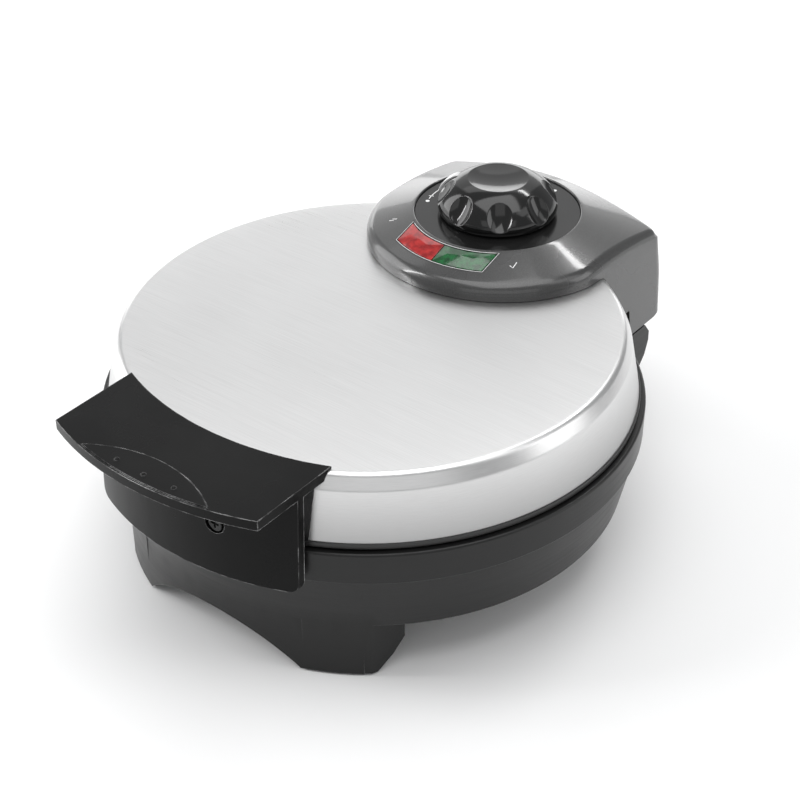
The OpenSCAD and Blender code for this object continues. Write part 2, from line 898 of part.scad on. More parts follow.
module thermal_fuse() {
    color([0.8, 0.78, 0.74])
        translate([0, -30, z_lid + plate_depth + reflector_h + sheet_t]) {
            translate([-9, 0, 3])
                rotate([0, 90, 0])
                    cylinder(r = 3, h = 18);
            translate([-3, -7, 0])
                cube([6, 14, 3]);
        }
}
module housing_screws() {
    color([0.55, 0.55, 0.57])
        for (p = house_screws)
            translate([p[0], p[1], z_top - steel_t - 0.3 + dome_rise * (1 - pow(norm(p) / top_r, 2))])
                screw(house_screw_len);
}

// ---- Knob ----
knob_az = dial_start - knob_rest;
rim_r = 14.2;
side_h = 3;
dish = 2;
bulge = 0.75;
pointer_t = 1.5;
pointer_w = 4;
scoop_r = 8.3;
scoop_half = 14;
scoop_out = 1.65;
scoop_z = 12.9;
scoop_lean = 32;
// The knob's outside: a short skirt, a shoulder between a cone and an ellipse, and a dished top
function knob_line(t) = concat(
    [[knob_r - 1 + t, z_knob], [knob_r + t, z_knob + 1]],
    [for (i = [0:9]) let (rise = bulge * sin(10 * i) + (1 - bulge) * (1 - cos(10 * i)))
        [rim_r + (knob_r - rim_r) * cos(10 * i) + t, z_knob + side_h + (knob_h - side_h) * rise]],
    [[rim_r - 0.8, z_knob_top]],
    [for (i = [1:4]) let (r = (rim_r - 0.8) * (1 - i / 4)) [r, z_knob_top - dish * (1 - pow(r / rim_r, 2))]]);
module knob() {
    step = 360 / scoops;
    color([0.08, 0.08, 0.09])
        dial_axis()
            rotate([0, 0, knob_az])
                difference() {
                    rotate_extrude()
                        polygon(concat([[0, z_knob + 4], [12, z_knob + 4], [12, z_knob]], knob_line(0)));
                    for (i = [0:scoops - 1])
                        rotate([0, 0, (i + 0.5) * step])
                            translate([0, -knob_r - scoop_out, z_knob + scoop_z])
                                rotate([-scoop_lean, 0, 0])
                                    rotate_extrude($fn = 48)
                                        polygon([for (a = [-90:15:90]) [scoop_r * cos(a), scoop_half * sin(a)]]);
                    cylinder(r = shaft_r, h = z_knob + shaft_up);
                }
}
module knob_pointer() {
    color([0.8, 0.8, 0.82])
        dial_axis()
            rotate([0, 0, knob_az])
                intersection() {
                    difference() {
                        rotate_extrude()
                            polygon(concat([[0, z_knob]], knob_line(pointer_t)));
                        rotate_extrude()
                            polygon(concat([[0, z_knob - 1]], knob_line(0)));
                    }
                    translate([-pointer_w / 2, -knob_r - pointer_t - 1, z_knob + 5])
                        cube([pointer_w, knob_r + pointer_t - rim_r, knob_h - 7]);
                }
}
module control_shaft() {
    color([0.75, 0.75, 0.78])
        dial_axis()
            translate([0, 0, z_dial - shaft_down])
                cylinder(r = shaft_r, h = z_knob + shaft_up - z_dial + shaft_down);
}

base_body();
base_ring();
bottom_cover();
bottom_screws();
foot_pads();
hinge_pins();
wire_guard();
cord_inlet();
terminal_block();
lower_plate();
lower_element();
lower_reflector();
lower_plate_screws();
lid_shell();
lid_bezel();
upper_plate();
upper_element();
upper_reflector();
upper_plate_screws();
handle();
thumb_pad();
handle_screws();
control_housing();
dial_plate();
red_lens();
green_lens();
indicator_lamps();
lamp_holder();
thermostat();
thermostat_nut();
thermal_fuse();
housing_screws();
knob();
knob_pointer();
control_shaft();
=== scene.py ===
"""The looks of a round waffle maker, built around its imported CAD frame. Metres; +Z up, -Y the front."""
import json
import math

import bmesh
import bpy
from mathutils import Matrix, Vector


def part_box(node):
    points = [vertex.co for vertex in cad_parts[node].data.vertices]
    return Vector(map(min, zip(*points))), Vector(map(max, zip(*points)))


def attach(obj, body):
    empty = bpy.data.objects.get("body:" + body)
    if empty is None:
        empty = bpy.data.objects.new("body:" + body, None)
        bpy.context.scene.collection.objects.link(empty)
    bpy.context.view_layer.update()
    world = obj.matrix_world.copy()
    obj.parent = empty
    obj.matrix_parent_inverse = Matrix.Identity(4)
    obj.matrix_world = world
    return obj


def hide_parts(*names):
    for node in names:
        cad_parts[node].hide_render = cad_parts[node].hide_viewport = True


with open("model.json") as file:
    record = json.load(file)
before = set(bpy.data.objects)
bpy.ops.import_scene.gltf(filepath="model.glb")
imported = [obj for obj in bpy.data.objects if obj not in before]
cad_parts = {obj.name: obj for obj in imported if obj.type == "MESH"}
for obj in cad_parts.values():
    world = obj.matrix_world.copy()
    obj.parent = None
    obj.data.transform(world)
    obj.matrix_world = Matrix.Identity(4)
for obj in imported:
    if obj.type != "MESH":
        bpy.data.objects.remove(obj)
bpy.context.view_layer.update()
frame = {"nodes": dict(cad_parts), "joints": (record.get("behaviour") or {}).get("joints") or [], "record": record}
record = frame["record"]
BODY_OF = {node: body for body, nodes in record["behaviour"]["bodies"].items() for node in nodes}
SLOT_OF = {part["node"]: part["material_slot"] for part in record["subparts"]}
JOINTS = {joint["name"]: joint for joint in frame["joints"]}
MM = 0.001


# ---- Sizes, from the frame ----
lid_low, lid_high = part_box("lid_shell")
dial_low, dial_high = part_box("dial_plate")
knob_low, knob_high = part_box("knob")
deck_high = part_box("control_housing")[1]
pointer_low, pointer_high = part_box("knob_pointer")
LID_R = lid_high.x
CREASE_R = LID_R - 4.1 * MM
TOP_R = CREASE_R - 3.4 * MM
STEEL_Z = lid_low.z
CREASE_Z = STEEL_Z + 22.6 * MM
TOP_Z = CREASE_Z + 6.4 * MM
CROWN = lid_high.z - TOP_Z
STEEL_T = 0.8 * MM
DIAL = Vector((0, (dial_low.y + dial_high.y) / 2, dial_high.z))
DIAL_R = dial_high.x
DECK_Z = deck_high.z
DECK_FALL = 0.33
KNOB_R = knob_high.x
KNOB_Z = knob_low.z
KNOB_H = knob_high.z - knob_low.z
BULGE = 0.75
POINTER = (pointer_low + pointer_high) / 2 - DIAL
POINTER_AZ = math.atan2(POINTER.x, -POINTER.y)
HINGE = Vector(JOINTS["lid_hinge"]["pos_m"])
HINGE_HALF = deck_high.x - 0.5 * MM
KNUCKLE_R = 9.2 * MM
LIP_Z = HINGE.z + 14.5 * MM
EAR_X = HINGE_HALF - 5.6 * MM
HOUSING_R = 61.6 * MM
HOUSING_T = 2.5 * MM
BACK_ARC = 450 * MM
BACK_LEAN = 4.5 * MM
BACK_Y = HINGE.y + 12.5 * MM
RIM_FILLET = 4 * MM
WINDOW_R = DIAL_R + 2.4 * MM
WINDOW_LEN = 10.5 * MM
WINDOW_HALF = 24 * MM
WINDOW_END = math.asin(WINDOW_HALF / WINDOW_R)
LENS_GAP = 0.35 * MM
EAR_START = HINGE.y - 20 * MM
KNOB_RIM = 14.2 * MM
DISH = 2 * MM
SCOOP_LEAN = math.radians(32)
SCOOP_HALF_W = 8.3 * MM
SCOOP_HALF_L = 14 * MM
SCOOP_OUT = 1.65 * MM
SCOOP_Z = 12.9 * MM
SCOOPS = 8
SCALE_R = 34 * MM


def deck_height(r):
    """Height of the deck at distance r from the dial's axis."""
    return DECK_Z - DECK_FALL * max(0.0, r - DIAL_R - 0.8 * MM)


def about_dial(r, azimuth, z):
    """A point at radius r about the dial's axis, azimuth measured from the front towards +X."""
    return Vector((DIAL.x + r * math.sin(azimuth), DIAL.y - r * math.cos(azimuth), z))


# ---- Node helpers ----
class Paint:
    """A new material and short ways to add nodes to it."""

    def __init__(self, name):
        self.material = bpy.data.materials.new(name)
        self.material.use_nodes = True
        self.tree = self.material.node_tree
        self.shader = self.tree.nodes["Principled BSDF"]
        self.place = self.tree.nodes.new("ShaderNodeTexCoord").outputs["Object"]

    def set(self, **values):
        for name, value in values.items():
            self.shader.inputs[name.replace("_", " ")].default_value = value

    def feed(self, name, socket):
        self.tree.links.new(socket, self.shader.inputs[name])

    def node(self, kind, **inputs):
        made = self.tree.nodes.new(kind)
        for name, value in inputs.items():
            target = made.inputs[name.replace("_", " ")]
            if isinstance(value, bpy.types.NodeSocket):
                self.tree.links.new(value, target)
            else:
                target.default_value = value
        return made

    def math(self, operation, a, b=0.0):
        made = self.tree.nodes.new("ShaderNodeMath")
        made.operation = operation
        for i, value in enumerate((a, b)):
            if isinstance(value, bpy.types.NodeSocket):
                self.tree.links.new(value, made.inputs[i])
            else:
                made.inputs[i].default_value = value
        return made.outputs[0]

    def stretched(self, scale):
        """Object coordinates scaled along each axis."""
        made = self.node("ShaderNodeMapping", Vector=self.place)
        made.inputs["Scale"].default_value = scale
        return made.outputs["Vector"]

    def noise(self, scale, detail=3.0, roughness=0.5, vector=None):
        made = self.node("ShaderNodeTexNoise", Vector=vector or self.place,
                         Scale=scale, Detail=detail, Roughness=roughness)
        return made.outputs["Fac"]

    def cells(self, scale):
        made = self.node("ShaderNodeTexVoronoi", Vector=self.place, Scale=scale)
        return made.outputs["Distance"]

    def span(self, value, low, high, to_low, to_high):
        """Value moved from the range low to high onto the range to_low to to_high."""
        made = self.node("ShaderNodeMapRange", Value=value)
        names = ("From Min", "From Max", "To Min", "To Max")
        for name, number in zip(names, (low, high, to_low, to_high)):
            made.inputs[name].default_value = number
        return made.outputs["Result"]

    def blend(self, fac, a, b):
        made = self.tree.nodes.new("ShaderNodeMix")
        made.data_type = "RGBA"
        for socket, value in ((made.inputs["Factor"], fac), (made.inputs[6], a), (made.inputs[7], b)):
            if isinstance(value, bpy.types.NodeSocket):
                self.tree.links.new(value, socket)
            else:
                socket.default_value = value
        return made.outputs[2]

    def bump(self, height, distance, strength=1.0):
        made = self.node("ShaderNodeBump", Height=height, Distance=distance, Strength=strength)
        self.feed("Normal", made.outputs["Normal"])

    def edges(self, radius, gain):
        """Nearly 1 on sharp outside edges and 0 on flat faces."""
        rounded = self.tree.nodes.new("ShaderNodeBevel")
        rounded.samples = 4
        rounded.inputs["Radius"].default_value = radius
        flat = self.tree.nodes.new("ShaderNodeNewGeometry")
        dot = self.tree.nodes.new("ShaderNodeVectorMath")
        dot.operation = "DOT_PRODUCT"
        self.tree.links.new(rounded.outputs["Normal"], dot.inputs[0])
        self.tree.links.new(flat.outputs["Normal"], dot.inputs[1])
        return self.math("MULTIPLY", self.math("SUBTRACT", 1.0, dot.outputs["Value"]), gain)

    def around(self):
        """Radius and turn about the lid's axis, and height, as three sockets."""
        split = self.node("ShaderNodeSeparateXYZ", Vector=self.place)
        x, y, z = split.outputs
        squares = self.math("ADD", self.math("MULTIPLY", x, x), self.math("MULTIPLY", y, y))
        return self.math("SQRT", squares), self.math("ARCTAN2", y, x), z


def grey(value, warm=0.0):
    return (value * (1 + warm), value, value * (1 - warm), 1.0)


# ---- Materials, one for each slot of the record ----
def moulded(name, colour, lighter, rough, grain, grain_depth, edge_rub_and_highlight, streak=0.0,
            specular=0.5, edge_rub_and_highlight_grey=0.16):
    """Moulded plastic: fine grain, slow variation of colour and gloss, and paler edges that are partly worn edges
    and partly a painted edge highlight.
    """
    paint = Paint(name)
    slow = paint.noise(14, 4, 0.6)
    fine = paint.noise(grain, 2, 0.5)
    body = paint.blend(paint.span(slow, 0.35, 0.7, 0, 1), colour, lighter)
    patchy = paint.span(paint.noise(160, 3, 0.6), 0.42, 0.66, 0.1, 1)
    # Paler edges: edge wear, and a painted edge highlight where the edge weight is high.
    patchy_edges = paint.math("MULTIPLY", paint.edges(0.7 * MM, 2.2), patchy)
    pale_edges = paint.blend(paint.math("MULTIPLY", patchy_edges, edge_rub_and_highlight), body, grey(edge_rub_and_highlight_grey))
    paint.feed("Base Color", pale_edges)
    gloss = paint.span(slow, 0.3, 0.75, rough - 0.05, rough + 0.07)
    if streak:
        radius, turn, z = paint.around()
        lines = paint.node("ShaderNodeCombineXYZ", X=paint.math("MULTIPLY", turn, 0.6),
                           Y=paint.math("MULTIPLY", z, 160.0))
        marks = paint.span(paint.noise(5, 4, 0.6, lines.outputs[0]), 0.4, 0.65, 0, streak)
        gloss = paint.math("ADD", gloss, marks)
    paint.feed("Roughness", gloss)
    paint.bump(fine, grain_depth)
    paint.set(Specular_IOR_Level=specular)
    return paint.material


def base_plastic():
    return moulded("satin_charcoal", grey(0.006), grey(0.009), 0.32, 1500, 0.03 * MM, 0.6,
                   streak=0.06, specular=0.35, edge_rub_and_highlight_grey=0.24)


def trim_black():
    return moulded("trim_black", grey(0.012), grey(0.016), 0.34, 1500, 0.02 * MM, 0.3)


def handle_plastic():
    # The strong pale edges here are a painted highlight along the handle's edges.
    return moulded("handle_black", grey(0.003), grey(0.006), 0.26, 1700, 0.018 * MM, 1.0,
                   specular=0.11, edge_rub_and_highlight_grey=0.62)


def housing_plastic():
    """Grey plastic with a fine metallic fleck under a gloss coat."""
    paint = Paint("gunmetal_gloss")
    fleck = paint.cells(2600)
    body = paint.blend(paint.span(fleck, 0.1, 0.6, 0, 1), grey(0.078), grey(0.048))
    patchy = paint.span(paint.noise(200, 3, 0.6), 0.45, 0.7, 0, 1)
    patchy_edges = paint.math("MULTIPLY", paint.edges(0.6 * MM, 1.5), patchy)
    paint.feed("Base Color", paint.blend(paint.math("MULTIPLY", patchy_edges, 0.25), body, grey(0.3)))
    paint.feed("Roughness", paint.span(paint.noise(20, 3, 0.5), 0.3, 0.7, 0.24, 0.34))
    paint.bump(paint.noise(900, 2, 0.5), 0.008 * MM)
    paint.set(Metallic=0.35, Coat_Weight=0.6, Coat_Roughness=0.08)
    return paint.material


def dial_black():
    return moulded("dial_gloss", grey(0.008), grey(0.012), 0.13, 900, 0.004 * MM, 0.3, specular=0.6)


def knob_gloss():
    return moulded("knob_gloss", grey(0.004), grey(0.007), 0.12, 700, 0.004 * MM, 0.3, specular=0.6)


def pointer_silver():
    paint = Paint("silver_paint")
    fleck = paint.cells(5200)
    paint.feed("Base Color", paint.blend(paint.span(fleck, 0.1, 0.5, 0, 1), grey(0.85), grey(0.6)))
    paint.feed("Roughness", paint.span(paint.noise(600, 2, 0.5), 0.3, 0.7, 0.32, 0.5))
    paint.bump(paint.noise(2500, 2, 0.5), 0.01 * MM)
    paint.set(Metallic=0.6)
    return paint.material


def lens(name, deep, bright):
    """Coloured glossy plastic with slow swirls between two depths of colour."""
    paint = Paint(name)
    swirl = paint.noise(260, 3, 0.55)
    paint.feed("Base Color", paint.blend(paint.span(swirl, 0.4, 0.64, 0, 1), deep, bright))
    paint.feed("Roughness", paint.span(paint.noise(700, 2, 0.5), 0.3, 0.7, 0.07, 0.16))
    paint.bump(paint.noise(1400, 3, 0.6), 0.03 * MM)
    paint.set(IOR=1.49, Transmission_Weight=0.1, Coat_Weight=0.8, Coat_Roughness=0.04)
    return paint.material


def lens_red():
    return lens("red_lens", (0.24, 0.004, 0.005, 1), (0.44, 0.02, 0.018, 1))


def lens_green():
    return lens("green_lens", (0.001, 0.045, 0.01, 1), (0.006, 0.12, 0.03, 1))


def lamp_glass():
    paint = Paint("lamp_glass")
    tint = paint.blend(paint.noise(300, 3, 0.5), (0.9, 0.84, 0.76, 1), (0.95, 0.92, 0.9, 1))
    paint.feed("Base Color", tint)
    paint.feed("Roughness", paint.span(paint.noise(500, 2, 0.5), 0.3, 0.7, 0.03, 0.12))
    paint.bump(paint.noise(400, 2, 0.5), 0.02 * MM)
    paint.set(Transmission_Weight=0.85, IOR=1.5)
    return paint.material


def lid_steel():
    """Satin steel: straight grain across the crown, grain round the wall, painted shade that darkens the wall low
    down, and clouds.
    """
    paint = Paint("satin_steel")
    radius, turn, z = paint.around()
    wall = paint.node("ShaderNodeCombineXYZ", X=paint.math("MULTIPLY", turn, 0.9),
                      Y=paint.math("MULTIPLY", z, 260.0))
    round_grain = paint.noise(14, 5, 0.7, wall.outputs[0])
    crown_grain = paint.noise(1, 5, 0.7, paint.stretched((26, 2600, 1)))
    on_wall = paint.span(radius, TOP_R - 3 * MM, TOP_R + 1 * MM, 0, 1)
    grain = paint.math("ADD", paint.math("MULTIPLY", round_grain, on_wall),
                       paint.math("MULTIPLY", crown_grain, paint.math("SUBTRACT", 1.0, on_wall)))
    clouds = paint.noise(9, 4, 0.6)
    tone = paint.blend(paint.span(grain, 0.3, 0.7, 0, 1), grey(0.62, 0.002), grey(0.72, 0.002))
    clouded = paint.blend(paint.span(clouds, 0.3, 0.75, 0.0, 0.35), tone, grey(0.7))
    # Painted shade: the wall's colour darkens towards its lower edge.
    painted_shade_low = paint.math("MULTIPLY", on_wall, paint.span(z, STEEL_Z, CREASE_Z, 0.75, 0.0))
    paint.feed("Base Color", paint.blend(painted_shade_low, clouded, grey(0.3)))
    satin = paint.span(grain, 0.25, 0.75, 0.27, 0.36)
    paint.feed("Roughness", paint.math("ADD", satin, paint.span(clouds, 0.3, 0.7, -0.02, 0.03)))
    paint.bump(grain, 0.012 * MM, 0.5)
    paint.set(Metallic=1.0)
    return paint.material


def plated(name, pale, dark, rough_low, rough_high, scale, depth):
    """Bare or plated metal with spots, a soft mottled gloss and a painted highlight on its edges."""
    paint = Paint(name)
    spots = paint.noise(scale, 4, 0.6)
    body = paint.blend(paint.span(spots, 0.35, 0.68, 0, 1), pale, dark)
    # Painted highlight: the edges are paled towards grey(0.9).
    bright = paint.math("MULTIPLY", paint.edges(0.3 * MM, 1.2), 0.5)
    paint.feed("Base Color", paint.blend(bright, body, grey(0.9)))
    paint.feed("Roughness", paint.span(paint.noise(scale * 3, 3, 0.6), 0.3, 0.7, rough_low, rough_high))
    paint.bump(paint.noise(scale * 6, 3, 0.6), depth)
    paint.set(Metallic=1.0)
    return paint.material


def black_screw():
    """Black oxide over steel."""
    return moulded("black_oxide", grey(0.005), grey(0.009), 0.42, 900, 0.02 * MM, 0.15, specular=0.3)


def zinc_steel():
    return plated("zinc_plated", grey(0.62, -0.01), grey(0.46, 0.01), 0.2, 0.38, 180, 0.02 * MM)


def reflector_aluminium():
    return plated("bright_sheet", grey(0.8), grey(0.68), 0.22, 0.4, 60, 0.02 * MM)


def heater_sheath():
    """Steel sheath gone brown and blue with heat."""
    return plated("heat_stained", (0.2, 0.15, 0.12, 1), (0.1, 0.1, 0.13, 1), 0.35, 0.55, 40, 0.03 * MM)


def nonstick():
    """Sprayed non-stick coating on a casting: slightly orange-peeled, dark, with a soft gloss."""
    paint = Paint("nonstick_coating")
    peel = paint.noise(420, 3, 0.55)
    fleck = paint.cells(1500)
    body = paint.blend(paint.span(fleck, 0.05, 0.25, 0, 1), grey(0.06), grey(0.022))
    pale_edges = paint.math("MULTIPLY", paint.edges(0.6 * MM, 1.6), 0.22)
    paint.feed("Base Color", paint.blend(pale_edges, body, grey(0.14)))
    paint.feed("Roughness", paint.span(paint.noise(30, 4, 0.6), 0.3, 0.7, 0.3, 0.42))
    paint.bump(peel, 0.05 * MM, 0.6)
    paint.set(Specular_IOR_Level=0.6)
    return paint.material


def ceramic_white():
    paint = Paint("heatproof_moulding")
    speck = paint.cells(900)
    slow = paint.span(paint.noise(60, 4, 0.6), 0.35, 0.7, 0, 1)
    body = paint.blend(slow, (0.74, 0.71, 0.62, 1), (0.66, 0.62, 0.52, 1))
    paint.feed("Base Color", paint.blend(paint.span(speck, 0.0, 0.09, 0.5, 0), body, grey(0.35, 0.1)))
    paint.feed("Roughness", paint.span(paint.noise(200, 3, 0.6), 0.3, 0.7, 0.42, 0.6))
    paint.bump(paint.noise(1200, 3, 0.6), 0.03 * MM)
    return paint.material


def rubber():
    return moulded("soft_rubber", grey(0.014), grey(0.022), 0.62, 1100, 0.06 * MM, 0.4)


def printed_white():
    """Pad-printed white ink, a little uneven."""
    paint = Paint("printed_white")
    cover = paint.noise(900, 3, 0.6)
    paint.feed("Base Color", paint.blend(paint.span(cover, 0.35, 0.7, 0, 1), grey(0.86), grey(0.62)))
    paint.feed("Roughness", paint.span(cover, 0.3, 0.7, 0.4, 0.58))
    paint.bump(cover, 0.01 * MM)
    return paint.material


MATERIALS = {maker.__name__: maker() for maker in (
    base_plastic, trim_black, handle_plastic, housing_plastic, dial_black, knob_gloss, pointer_silver,
    lens_red, lens_green, lamp_glass, lid_steel, black_screw, zinc_steel, heater_sheath, reflector_aluminium,
    nonstick, ceramic_white, rubber)}
INK = printed_white()


# ---- Mesh helpers ----
def piece_from(bm, name, body, slot_name, material=None, sharp=30):
    """Turns a bmesh into a shaded piece that rides on a body."""
    bmesh.ops.recalc_face_normals(bm, faces=bm.faces)
    mesh = bpy.data.meshes.new(name)
    bm.to_mesh(mesh)
    bm.free()
    piece = bpy.data.objects.new(name, mesh)
    bpy.context.scene.collection.objects.link(piece)
    mesh.shade_smooth()
    mesh.set_sharp_from_angle(angle=math.radians(sharp))
    mesh.materials.append(material or MATERIALS[slot_name])
    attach(piece, body)
    return piece


def applied(piece):
    """Replaces a piece's mesh with what its modifiers make of it."""
    evaluated = piece.evaluated_get(bpy.context.evaluated_depsgraph_get())
    mesh = bpy.data.meshes.new_from_object(evaluated)
    piece.modifiers.clear()
    piece.data = mesh
    return mesh


def smoothed(piece):
    """Makes large faces set the shading, so that long thin ones beside them don't show."""
    even = piece.modifiers.new("even_shading", "WEIGHTED_NORMAL")
    even.keep_sharp = True
    applied(piece)


def refined(node, width, flat=0.4):
    """A copy of a CAD node with facets under flat degrees merged and its sharp edges rounded to width."""
    bm = bmesh.new()
    bm.from_mesh(frame["nodes"][node].data)
    bmesh.ops.remove_doubles(bm, verts=bm.verts, dist=0.002 * MM)
    bmesh.ops.dissolve_limit(bm, angle_limit=math.radians(flat), verts=bm.verts, edges=bm.edges)
    piece = piece_from(bm, node + "_fine", BODY_OF[node], SLOT_OF[node])
    add_bevel(piece, width, 32)
    mesh = applied(piece)
    mesh.shade_smooth()
    mesh.set_sharp_from_angle(angle=math.radians(38))
    smoothed(piece)
    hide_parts(node)


def add_bevel(piece, width, limit):
    """Rounds the edges that bend by more than limit degrees."""
    bevel = piece.modifiers.new("round", "BEVEL")
    bevel.width = width
    bevel.segments = 2
    bevel.limit_method = "ANGLE"
    bevel.angle_limit = math.radians(limit)
    bevel.miter_outer = "MITER_ARC"


def rounded(points, radii, steps=6):
    """A closed outline with its corners rounded; radii gives each corner's radius, 0 for a sharp one."""
    made = []
    for i, corner in enumerate(points):
        b, a, c = Vector(corner), Vector(points[i - 1]), Vector(points[(i + 1) % len(points)])
        u, v = (a - b).normalized(), (c - b).normalized()
        half = math.acos(max(-1, min(1, u.dot(v)))) / 2
        r = radii[i]
        if r <= 0 or half > math.radians(89):
            made.append(b)
            continue
        reach = min(r / math.tan(half), 0.48 * (a - b).length, 0.48 * (c - b).length)
        r = reach * math.tan(half)
        centre = b + (u + v).normalized() * (r / math.sin(half))
        start, end = b + u * reach - centre, b + v * reach - centre
        a0 = math.atan2(start.y, start.x)
        sweep = (math.atan2(end.y, end.x) - a0 + math.pi) % math.tau - math.pi
        made += [centre + Vector((math.cos(a0 + sweep * k / steps), math.sin(a0 + sweep * k / steps))) * r
                 for k in range(steps + 1)]
    return made


def revolved(outline, steps):
    """A bmesh of a closed radius-height outline turned about +Z. A point on the axis is one vertex."""
    bm = bmesh.new()
    rings = []
    for r, z in outline:
        if r < 1e-7:
            rings.append([bm.verts.new((0, 0, z))] * steps)
            continue
        turns = [math.tau * i / steps for i in range(steps)]
        rings.append([bm.verts.new((r * math.cos(a), r * math.sin(a), z)) for a in turns])
    for low, high in zip(rings, rings[1:] + rings[:1]):
        for i in range(steps):
            j = (i + 1) % steps
            corners = list(dict.fromkeys((low[i], low[j], high[j], high[i])))
            if len(corners) > 2:
                bm.faces.new(corners)
    return bm


# ---- Lid ----
def lid_outside():
    """The lid's outside line from its lower edge to the crown."""
    corners = [(LID_R, STEEL_Z), (CREASE_R, CREASE_Z), (TOP_R, TOP_Z), (0.0, TOP_Z)]
    line = rounded(corners + [(0.0, STEEL_Z)], [0, 5 * MM, 3.5 * MM, 0, 0], 10)[:-2]
    edge_r = TOP_R - 4 * MM
    crown = [Vector((edge_r * (1 - k / 24), 0)) for k in range(1, 25)]
    return line + [Vector((p.x, TOP_Z + CROWN * (1 - (p.x / TOP_R) ** 2))) for p in crown]


def lid_shell():
    """The pressed steel lid with its rolled lower edge, as a closed sheet 0.8 mm thick."""
    outside = lid_outside()
    inside = []
    for i, p in enumerate(outside):
        before, after = outside[max(0, i - 1)], outside[min(len(outside) - 1, i + 1)]
        along = (after - before).normalized()
        inside.append(p - Vector((along.y, -along.x)) * STEEL_T)
    inside[-1].x = 0.0
    hem = [Vector((LID_R - STEEL_T * (1 - math.cos(a)) / 2, STEEL_Z + STEEL_T * (1 - math.sin(a)) / 2))
           for a in (math.pi * k / 8 for k in range(1, 8))]
    outline = outside + inside[::-1] + hem[::-1]
    bm = revolved(outline, 256)
    piece = piece_from(bm, "steel_lid", "lid", "lid_steel", sharp=50)
    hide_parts("lid_shell")


# ---- Knob and dial ----
def knob_radius(t):
    """The knob's outside at t from 0 (lower edge) to 1 (rim), as (radius, height above the lower edge)."""
    skirt, side = 0.12, 3 * MM
    if t < skirt:
        return KNOB_R - 1 * MM * (1 - t / skirt) ** 2, side * t / skirt
    angle = (t - skirt) / (1 - skirt) * math.pi / 2
    rise = BULGE * math.sin(angle) + (1 - BULGE) * (1 - math.cos(angle))
    return KNOB_RIM + (KNOB_R - KNOB_RIM) * math.cos(angle), side + (KNOB_H - side) * rise


def soft_max(a, b, k):
    """max(a, b) with the corner rounded over k."""
    h = max(k - abs(a - b), 0.0) / k
    return max(a, b) + h * h * k / 4


def scooped(point, places):
    """The point after the finger scoops: a point inside a leaning ellipsoid moves in to its far side."""
    lean_in, lean_up = math.cos(SCOOP_LEAN), math.sin(SCOOP_LEAN)
    for azimuth in places:
        u = Vector((math.sin(azimuth), -math.cos(azimuth), 0))
        across = u.cross(Vector((0, 0, 1))).dot(point)
        radial = u.dot(point)
        if radial <= 0 or abs(across) > SCOOP_HALF_W + MM:
            continue
        dr, dz = radial - (KNOB_R + SCOOP_OUT), point.z - SCOOP_Z
        along = dz * lean_in - dr * lean_up
        out = dr * lean_in + dz * lean_up
        inside = 1 - (across / SCOOP_HALF_W) ** 2 - (along / SCOOP_HALF_L) ** 2
        if inside <= 0 or out > 0:
            continue
        cut = soft_max(out + SCOOP_HALF_W * math.sqrt(inside), 0.0, 0.25 * MM)
        point = point - (u * lean_in + Vector((0, 0, lean_up))) * cut
    return point


def knob():
    """The knob: a short skirt, an elliptical shoulder with finger scoops, and a dished top."""
    steps, rows = 576, 90
    places = [POINTER_AZ + math.tau * (k + 0.5) / SCOOPS for k in range(SCOOPS)]
    lift = Vector((DIAL.x, DIAL.y, KNOB_Z))
    angles = [math.tau * i / steps for i in range(steps)]
    turns = [Vector((math.sin(a), -math.cos(a), 0)) for a in angles]
    bm = bmesh.new()

    def ring(r, z):
        return [bm.verts.new(lift + u * r + Vector((0, 0, z))) for u in turns]

    rings = [ring(KNOB_R - 3 * MM, 4 * MM), ring(KNOB_R - 3 * MM, 0)]
    for k in range(rows + 1):
        r, z = knob_radius(k / rows)
        rings.append([bm.verts.new(lift + scooped(u * r + Vector((0, 0, z)), places)) for u in turns])
    for r in (13.8, 13.3, 12, 10, 7.5, 5, 2.5):
        sunk = 0.15 * MM if r > 13.7 else DISH * (1 - (r * MM / KNOB_RIM) ** 2)
        rings.append(ring(r * MM, KNOB_H - sunk))
    for low, high in zip(rings, rings[1:]):
        for i in range(steps):
            bm.faces.new((low[i], low[i - steps + 1], high[i - steps + 1], high[i]))
    centre = bm.verts.new(lift + Vector((0, 0, KNOB_H - DISH)))
    for i in range(steps):
        bm.faces.new((rings[-1][i], rings[-1][i - steps + 1], centre))
    bm.faces.new(rings[0])
    piece = piece_from(bm, "knob_scooped", "knob", "knob_gloss", sharp=48)
    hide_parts("knob")


def flat_strip(name, line, width, height, slot_name="pointer_silver", material=INK, closed=False):
    """A thin printed strip on the lid along a line of points; height(point) is the surface it lies on."""
    thickness, sunk = 0.06 * MM, 0.02 * MM
    bm = bmesh.new()
    last = len(line) - 1
    rows = []
    for i, p in enumerate(line):
        a = line[i - 1] if i or closed else p
        b = line[(i + 1) % len(line)] if i < last or closed else p
        along = (b - a).normalized()
        side = Vector((-along.y, along.x)) * width / 2
        row = []
        for s, up in ((-1, -sunk), (-1, thickness), (1, thickness), (1, -sunk)):
            q = p + side * s
            row.append(bm.verts.new((q.x, q.y, height(q) + up)))
        rows.append(row)
    pairs = list(zip(rows, rows[1:])) + ([(rows[-1], rows[0])] if closed else [])
    for low, high in pairs:
        for k in range(4):
            bm.faces.new((low[k], low[(k + 1) % 4], high[(k + 1) % 4], high[k]))
    if not closed:
        bm.faces.new(rows[0])
        bm.faces.new(rows[-1])
    piece_from(bm, name, "lid", slot_name, material)


def on_deck(p):
    return deck_height((Vector((p.x, p.y)) - Vector((DIAL.x, DIAL.y))).length)


def on_dial(p):
    return DIAL.z


def ring_line(r, a0, a1, steps):
    """Points along an arc about the dial's axis, as plan positions."""
    return [about_dial(r, a0 + (a1 - a0) * k / steps, 0).to_2d() for k in range(steps + 1)]


